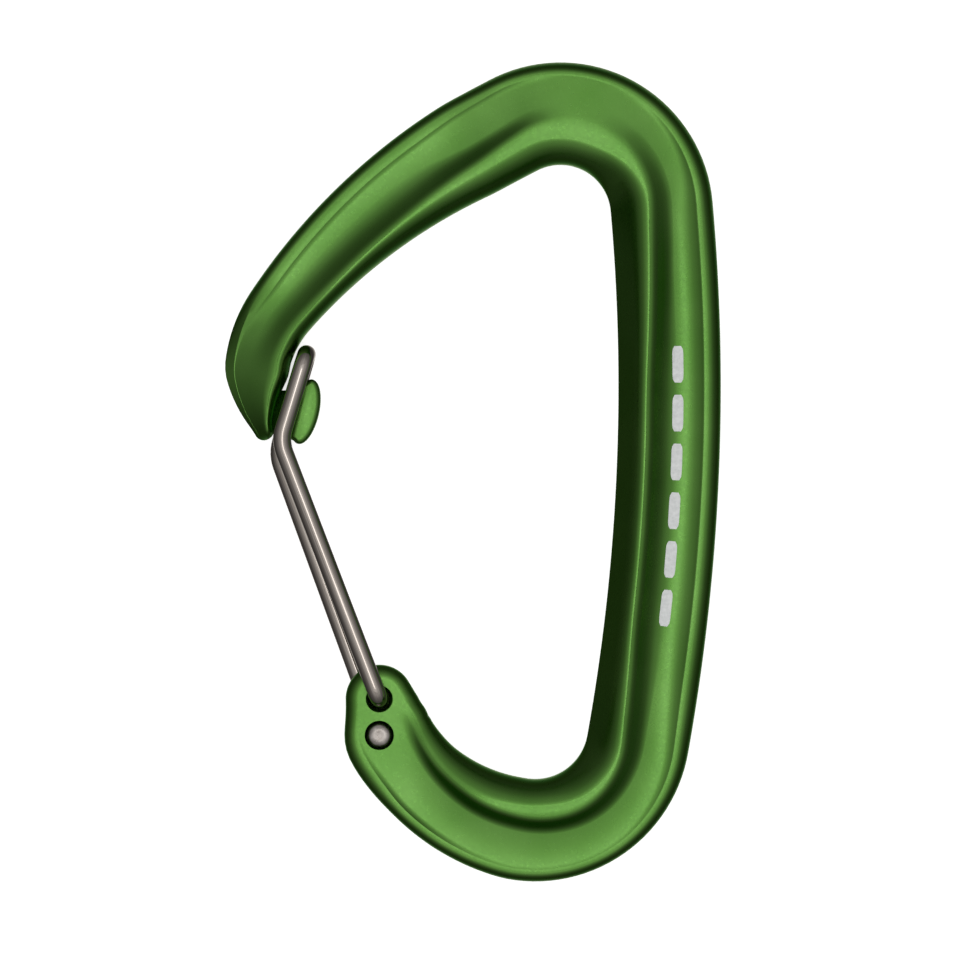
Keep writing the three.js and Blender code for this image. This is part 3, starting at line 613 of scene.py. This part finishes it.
def gate_points():
    """The wire's centreline, from the front pivot round the nose head to the back pivot."""
    loop = HEAD + Vector((LOOP_ACROSS, LOOP_ABOVE_HEAD, 0))
    up = Vector((0, 0, LEG_HEIGHT))
    pin = Vector((0, 0, PEEN_TOP - PIN_OVERLAP))
    front_knee = HEAD - Vector((*FRONT_KNEE, 0))
    back_knee = HEAD - Vector((*BACK_KNEE, 0))
    return rounded_path([
        (FRONT_PIVOT + pin, 0), (FRONT_PIVOT + up, PIVOT_BEND_RADIUS),
        (front_knee + up, KNEE_RADIUS), (loop + up, LOOP_RADIUS), (loop - up, LOOP_RADIUS),
        (back_knee - up, KNEE_RADIUS), (BACK_PIVOT - up, PIVOT_BEND_RADIUS), (BACK_PIVOT - pin, 0),
    ])


def gate_wire(material):
    """The bent wire, a round skin that doesn't twist along the path."""
    centres = gate_points()
    tangents = [(b - a).normalized() for a, b in zip(centres, centres[1:])]
    tangents = [tangents[0], *[(a + b).normalized() for a, b in zip(tangents, tangents[1:])],
                tangents[-1]]
    side = Vector((1, 0, 0))
    turns = [math.tau * k / WIRE_SIDES for k in range(WIRE_SIDES)]
    rings, run = [], [0.0]
    for number, (centre, tangent) in enumerate(zip(centres, tangents)):
        if number:
            side = tangents[number - 1].rotation_difference(tangent) @ side
            run.append(run[-1] + (centre - centres[number - 1]).length)
        other = tangent.cross(side).normalized()
        rings.append([
            centre + (side * math.cos(a) + other * math.sin(a)) * WIRE_RADIUS for a in turns
        ])
    skin = rolled_skin(len(rings), WIRE_SIDES, lambda i, j: rings[i][j], lambda i: run[i])
    bmesh.ops.holes_fill(skin, edges=skin.edges, sides=WIRE_SIDES)
    bmesh.ops.recalc_face_normals(skin, faces=skin.faces)
    wire = to_object("gate_wire", skin)
    finish_piece(wire, material)
    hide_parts("gate_wire_front_half", "gate_wire_back_half")
    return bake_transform(wire)


def gate_pin(name, pivot, side, body, material):
    """The wire's end inside the ear, and its peened head in the recess on the far side."""
    shaft = WIRE_RADIUS - PIN_TRIM
    profile = [(0, PEEN_TOP), (shaft, PEEN_TOP), (shaft, PIN_SHOULDER - PEEN_BASE)]
    profile += [(PEEN_RADIUS * share, -PEEN_BASE - depth) for share, depth in PEEN_PROFILE]
    pin = to_object(name, turned([(radius, pivot.z + side * z) for radius, z in profile], pivot))
    finish_piece(pin, material)
    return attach(pin, body)


# ---- Spine marks ---------------------------------------------------------------------------------
def height_at(distance, across):
    """Height of the body's face, from its section's points."""
    points = section_at(distance)
    for a, b in zip(points, points[1:]):
        if a.x <= across <= b.x and b.x > a.x:
            return mix(a.y, b.y, (across - a.x) / (b.x - a.x))
    return 0


def spine_marks(material):
    """Plain dashes printed on the spine, each a thin film that follows the face under it."""
    bm = bmesh.new()
    pitch = (DASHES_END - DASHES_START - DASH_LENGTH) / (DASH_COUNT - 1)
    for number in range(DASH_COUNT):
        start = DASHES_START + pitch * number
        cells_along, cells_across = DASH_CELLS
        film = bmesh.ops.create_grid(
            bm, x_segments=cells_along, y_segments=cells_across, size=1)
        for vert in film["verts"]:
            narrow = 1 - DASH_TAPER * abs(vert.co.x) ** DASH_ROUNDNESS
            distance = start + DASH_LENGTH * (vert.co.x + 1) / 2
            across = DASH_ACROSS + DASH_WIDTH / 2 * vert.co.y * narrow
            centre, heading = centre_at(distance)
            inward = Vector((-math.sin(heading), math.cos(heading), 0))
            point = centre + inward * (width_at(distance) / 2 - across)
            point.z += height_at(distance, across) + INK_ABOVE
            vert.co = world(point)
    grown = bmesh.ops.extrude_face_region(bm, geom=bm.faces[:])
    verts = [item for item in grown["geom"] if isinstance(item, bmesh.types.BMVert)]
    bmesh.ops.translate(bm, verts=verts, vec=world((0, 0, -INK_ABOVE - INK_BELOW)))
    bmesh.ops.recalc_face_normals(bm, faces=bm.faces)
    marks = to_object("spine_marks", bm)
    finish_piece(marks, material)
    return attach(marks, "body")


# ---- Materials -----------------------------------------------------------------------------------
def linear(code):
    """An sRGB hex colour as linear RGBA."""
    parts = [int(code[k:k + 2], 16) / 255 for k in (1, 3, 5)]
    return (*[c / 12.92 if c <= 0.04045 else ((c + 0.055) / 1.055) ** 2.4 for c in parts], 1)


def add(tree, kind, links=None, values=None, **settings):
    """A node, with its settings, the values of its inputs and what links into them."""
    node = tree.nodes.new("ShaderNode" + kind)
    for name, value in settings.items():
        setattr(node, name, value)
    for name, value in (values or {}).items():
        node.inputs[name].default_value = value
    for name, source in (links or {}).items():
        tree.links.new(source, node.inputs[name])
    return node


def ramp(tree, source, stops):
    """A colour ramp from (place, sRGB hex) stops."""
    node = add(tree, "ValToRGB", {"Fac": source})
    elements = node.color_ramp.elements
    while len(elements) < len(stops):
        elements.new(1)
    for element, (place, code) in zip(elements, stops):
        element.position, element.color = place, linear(code)
    return node.outputs["Color"]


def spread(tree, source, low, high):
    """Turns a pattern that runs from about 0.3 to 0.7 into one that runs from low to high."""
    node = add(
        tree, "MapRange", {"Value": source},
        {"From Min": 0.3, "From Max": 0.7, "To Min": low, "To Max": high})
    return node.outputs["Result"]


def new_material(name):
    material = bpy.data.materials.new(name)
    material.use_nodes = True
    tree = material.node_tree
    tree.nodes.clear()
    return material, tree


def per_mm(size):
    """Noise scale, in cycles a metre, for a pattern whose blobs are size millimetres across."""
    return 1 / (size * MM)


def noise(tree, coordinates, size, detail=2.0, roughness=0.5):
    node = add(
        tree, "TexNoise", {"Vector": coordinates},
        {"Scale": per_mm(size), "Detail": detail, "Roughness": roughness})
    return node.outputs["Fac"]


def anodised_aluminium():
    """Forged, tumbled and dyed green: satin, with a soft cloudy dye and a fine tumbled grain."""
    material, tree = new_material("green_anodised_aluminium")
    place = add(tree, "TexCoord").outputs["Object"]
    cloud = noise(tree, place, 9, 3)
    dye = ramp(tree, cloud, [(0.3, "#568A34"), (0.7, "#629440")])
    grain = noise(tree, place, 0.35, 2, 0.6)      # real grain is 0.05 mm, drawn coarser to show
    ripple = noise(tree, place, 3.5, 1)           # hammer and tumbling marks, barely felt
    first = add(tree, "Bump", {"Height": ripple}, {"Strength": 0.25, "Distance": 0.02 * MM})
    bumped = add(
        tree, "Bump", {"Height": grain, "Normal": first.outputs["Normal"]},
        {"Strength": 0.3, "Distance": 0.004 * MM})
    shader = add(
        tree, "BsdfPrincipled",
        {"Base Color": dye, "Roughness": spread(tree, grain, 0.27, 0.33),
         "Normal": bumped.outputs["Normal"]},
        {"Metallic": 1.0, "Specular Tint": linear("#8FC850"), "Coat Weight": 0.25,
         "Coat Roughness": 0.2, "Coat IOR": 1.6})
    add(tree, "OutputMaterial", {"Surface": shader.outputs["BSDF"]})
    return material


def drawn_steel():
    """Stainless spring wire, drawn through a die: bright, with fine lines along its length."""
    material, tree = new_material("drawn_stainless_wire")
    place = add(tree, "UVMap", uv_map="along").outputs["UV"]
    # One turn round is 6.75 mm, so the lines are about 0.15 mm apart.
    line_length, lines_round = 12, 45
    lines = add(
        tree, "Mapping", {"Vector": place}, {"Scale": (per_mm(line_length), lines_round, 1)}
    ).outputs["Vector"]
    drawn = add(
        tree, "TexNoise", {"Vector": lines}, {"Scale": 1, "Detail": 2, "Roughness": 0.6}
    ).outputs["Fac"]
    tone = ramp(tree, drawn, [(0.3, "#A49A92"), (0.7, "#C0B8B0")])
    bumped = add(tree, "Bump", {"Height": drawn}, {"Strength": 0.3, "Distance": 0.008 * MM})
    shader = add(
        tree, "BsdfPrincipled",
        {"Base Color": tone, "Roughness": spread(tree, drawn, 0.08, 0.14),
         "Normal": bumped.outputs["Normal"]},
        {"Metallic": 1.0})
    add(tree, "OutputMaterial", {"Surface": shader.outputs["BSDF"]})
    return material


def peened_steel():
    """The same steel where a hammer has upset it: duller, with small facets."""
    material, tree = new_material("peened_stainless_steel")
    place = add(tree, "TexCoord").outputs["Object"]
    dents = noise(tree, place, 0.9, 2)
    tone = ramp(tree, dents, [(0.3, "#8F8882"), (0.7, "#C2BCB6")])
    bumped = add(tree, "Bump", {"Height": dents}, {"Strength": 0.4, "Distance": 0.04 * MM})
    shader = add(
        tree, "BsdfPrincipled",
        {"Base Color": tone, "Roughness": spread(tree, dents, 0.25, 0.35),
         "Normal": bumped.outputs["Normal"]},
        {"Metallic": 1.0})
    add(tree, "OutputMaterial", {"Surface": shader.outputs["BSDF"]})
    return material


def marking_ink():
    """White pad-printing ink: matt, slightly uneven where the film is thin."""
    material, tree = new_material("white_printing_ink")
    place = add(tree, "TexCoord").outputs["Object"]
    film = noise(tree, place, 0.5, 2)
    tone = ramp(tree, film, [(0.3, "#DADCDC"), (0.7, "#EEEFEF")])
    shader = add(
        tree, "BsdfPrincipled",
        {"Base Color": tone, "Roughness": spread(tree, film, 0.45, 0.6)}, {"IOR": 1.5})
    add(tree, "OutputMaterial", {"Surface": shader.outputs["BSDF"]})
    return material


# ---- Stage ---------------------------------------------------------------------------------------
FRAME_WIDTH = 113.5           # millimetres across the picture at the carabiner's middle plane
FRAME_CENTRE = (0.83, -0.95)  # what the camera looks at, from the origin
CAMERA_HEIGHT = 1200
SENSOR = 36
CLIP_START, CLIP_END = 0.01, 100    # metres
SOFTBOX_HEIGHT, SOFTBOX_SIZE, SOFTBOX_RADIANCE = 900, 760, 0.32
KEY_HEIGHT, KEY_SIZE, KEY_RADIANCE = 890, 190, 1.8
FILL_HEIGHT, FILL_SIZE, FILL_RADIANCE = 1500, 1200, 1.5
FLOOR_SIZE = 40               # metres


def camera():
    """Looks straight down from far off, so the body's sides hardly show."""
    lens = bpy.data.cameras.new("camera")
    lens.sensor_width = SENSOR
    lens.lens = SENSOR * CAMERA_HEIGHT / FRAME_WIDTH
    lens.clip_start, lens.clip_end = CLIP_START, CLIP_END
    seen = bpy.data.objects.new("camera", lens)
    seen.location = world((*FRAME_CENTRE, CAMERA_HEIGHT + FRONT_PIVOT.z))
    bpy.context.scene.collection.objects.link(seen)
    bpy.context.scene.camera = seen


def area_light(name, height, size, radiance, shine):
    """A square lamp straight overhead. Where shine is False, metal doesn't mirror it."""
    lamp = bpy.data.lights.new(name, "AREA")
    lamp.shape, lamp.size = "SQUARE", size * MM
    lamp.energy = radiance * math.pi * lamp.size ** 2
    light = bpy.data.objects.new(name, lamp)
    light.location = world((0, 0, height))
    light.visible_camera = False
    light.visible_glossy = shine
    bpy.context.scene.collection.objects.link(light)


def floor():
    """A white table that glows a little, so that shadows on it stay faint."""
    bm = bmesh.new()
    bmesh.ops.create_grid(bm, x_segments=1, y_segments=1, size=FLOOR_SIZE / 2)
    plane = to_object("floor", bm)
    material, tree = new_material("white_table")
    shader = add(
        tree, "BsdfPrincipled", {},
        {"Base Color": linear("#F4F4F4"), "Roughness": 0.9, "Emission Color": linear("#FFFFFF"),
         "Emission Strength": 0.75})
    add(tree, "OutputMaterial", {"Surface": shader.outputs["BSDF"]})
    plane.data.materials.append(material)
    plane.visible_glossy = False


def surroundings():
    """A studio that is dim all round, dark low down, and light straight down where the table is."""
    studio = bpy.data.worlds.new("studio")
    studio.use_nodes = True
    tree = studio.node_tree
    tree.nodes.clear()
    way = add(tree, "TexCoord").outputs["Generated"]
    rise = add(tree, "SeparateXYZ", {"Vector": way}).outputs["Z"]
    share = add(
        tree, "MapRange", {"Value": rise},
        {"From Min": -1.0, "From Max": 1.0, "To Min": 0.0, "To Max": 1.0}).outputs["Result"]
    tone = ramp(tree, share, [
        (0.0, "#F3F0EC"), (0.05, "#A09E98"), (0.12, "#5E5E5C"), (0.25, "#3E3E3E"),
        (0.38, "#545454"), (0.57, "#686868"), (0.75, "#8A8A8A"), (0.88, "#B8B8B8"),
        (1.0, "#C4C4C4"),
    ])
    sky = add(tree, "Background", {"Color": tone}, {"Strength": 1.0})
    add(tree, "OutputWorld", {"Surface": sky.outputs["Background"]})
    bpy.context.scene.world = studio


def stage():
    camera()
    area_light("overhead_softbox", SOFTBOX_HEIGHT, SOFTBOX_SIZE, SOFTBOX_RADIANCE, True)
    area_light("key", KEY_HEIGHT, KEY_SIZE, KEY_RADIANCE, True)
    area_light("table_fill", FILL_HEIGHT, FILL_SIZE, FILL_RADIANCE, False)
    floor()
    surroundings()
    bpy.context.scene.view_settings.view_transform = "Standard"


# ---- Assembly ------------------------------------------------------------------------------------
stage()
carabiner_body(anodised_aluminium())
wire_steel, pin_steel = drawn_steel(), peened_steel()
gate_wire(wire_steel)
gate_pin("front_pin", FRONT_PIVOT, 1, "gate_front", pin_steel)
gate_pin("back_pin", BACK_PIVOT, -1, "gate_back", pin_steel)
spine_marks(marking_ink())
